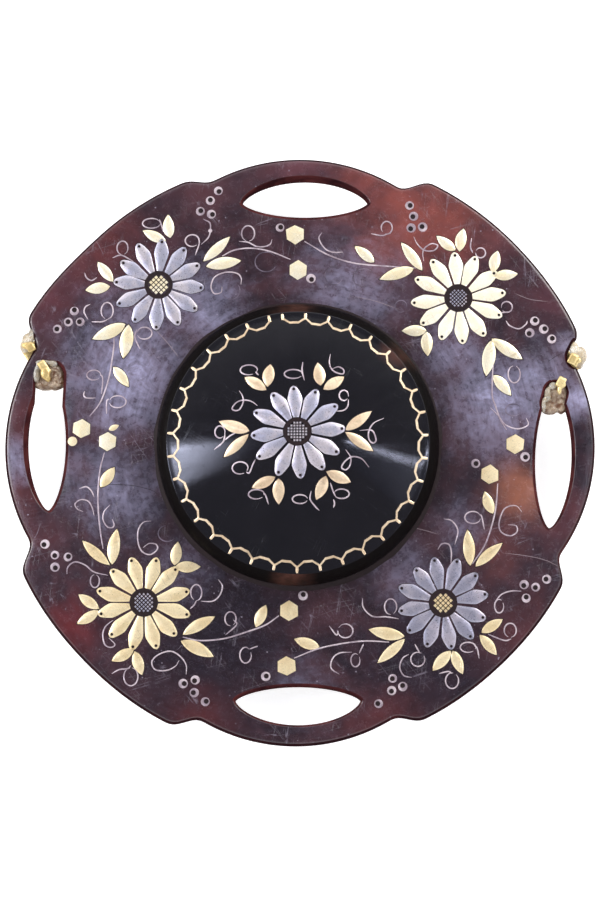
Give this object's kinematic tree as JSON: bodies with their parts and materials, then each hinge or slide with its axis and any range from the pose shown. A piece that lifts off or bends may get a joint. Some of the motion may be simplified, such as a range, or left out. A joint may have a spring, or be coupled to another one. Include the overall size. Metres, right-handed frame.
{
  "type": "brooch",
  "caption": "Round domed shell brooch with pierced sides, a raised boss, gold and silver flower inlay, and a hinged pin with a hook catch.",
  "frame": {"origin": "middle of the outline, on the surface that the pin fittings lie on", "axes": "+Z out of the front, +Y up as the brooch is worn, +X towards the catch"},
  "size_m": [0.059, 0.059, 0.0105],
  "materials": {
    "shell": "polished tortoiseshell, dark, worn satin",
    "boss_shell": "polished dark tortoiseshell",
    "gold_inlay": "engraved thin gold, slightly dulled",
    "silver_inlay": "engraved thin silver, slightly tarnished",
    "gilt_brass": "gilt brass, worn",
    "pin_steel": "drawn wire",
    "old_adhesive": "aged clear adhesive, yellowed"
  },
  "bodies": {
    "plate": {"adhesive_left": "old_adhesive", "adhesive_right": "old_adhesive", "boss": "boss_shell", "boss_border": "gold_inlay", "catch_fitting": "gilt_brass", "flower_boss_centre": "silver_inlay", "flower_boss_petals": "silver_inlay", "flower_ne_centre": "silver_inlay", "flower_ne_petals": "gold_inlay", "flower_nw_centre": "gold_inlay", "flower_nw_petals": "silver_inlay", "flower_se_centre": "gold_inlay", "flower_se_petals": "silver_inlay", "flower_sw_centre": "silver_inlay", "flower_sw_petals": "gold_inlay", "hexagon_east_inner": "gold_inlay", "hexagon_east_outer": "gold_inlay", "hexagon_north_inner": "gold_inlay", "hexagon_north_outer": "gold_inlay", "hexagon_south_inner": "gold_inlay", "hexagon_south_outer": "gold_inlay", "hexagon_west_inner": "gold_inlay", "hexagon_west_outer": "gold_inlay", "hinge_fitting": "gilt_brass", "hinge_rivet": "pin_steel", "leaves_boss_1": "gold_inlay", "leaves_boss_2": "gold_inlay", "leaves_boss_3": "gold_inlay", "leaves_boss_4": "gold_inlay", "leaves_boss_5": "gold_inlay", "leaves_boss_6": "gold_inlay", "leaves_ne_1": "gold_inlay", "leaves_ne_2": "gold_inlay", "leaves_ne_3": "gold_inlay", "leaves_ne_4": "gold_inlay", "leaves_ne_5": "gold_inlay", "leaves_ne_6": "gold_inlay", "leaves_ne_7": "gold_inlay", "leaves_nw_1": "gold_inlay", "leaves_nw_2": "gold_inlay", "leaves_nw_3": "gold_inlay", "leaves_nw_4": "gold_inlay", "leaves_nw_5": "gold_inlay", "leaves_se_1": "gold_inlay", "leaves_se_2": "gold_inlay", "leaves_se_3": "gold_inlay", "leaves_se_4": "gold_inlay", "leaves_se_5": "gold_inlay", "leaves_se_6": "gold_inlay", "leaves_sw_1": "gold_inlay", "leaves_sw_2": "gold_inlay", "leaves_sw_3": "gold_inlay", "leaves_sw_4": "gold_inlay", "leaves_sw_5": "gold_inlay", "leaves_sw_6": "gold_inlay", "leaves_sw_7": "gold_inlay", "shell_plate": "shell"},
    "knuckle": {"pin_knuckle": "gilt_brass"},
    "stem": {"pin_stem": "pin_steel"}
  },
  "joints": [
    {"name": "pin_swing", "type": "hinge", "parent": "plate", "child": "knuckle", "pos_m": [-0.0223, 0.0085, 0.0009], "axis": [0, 1, 0], "range_deg": [0, 110]},
    {"name": "stem_flex", "type": "hinge", "parent": "knuckle", "child": "stem", "pos_m": [-0.02075, 0.0085, 0.0009], "axis": [0, 0, 1], "range_deg": [0, 1.7], "stiffness_Nm_per_rad": 0.13}
  ]
}
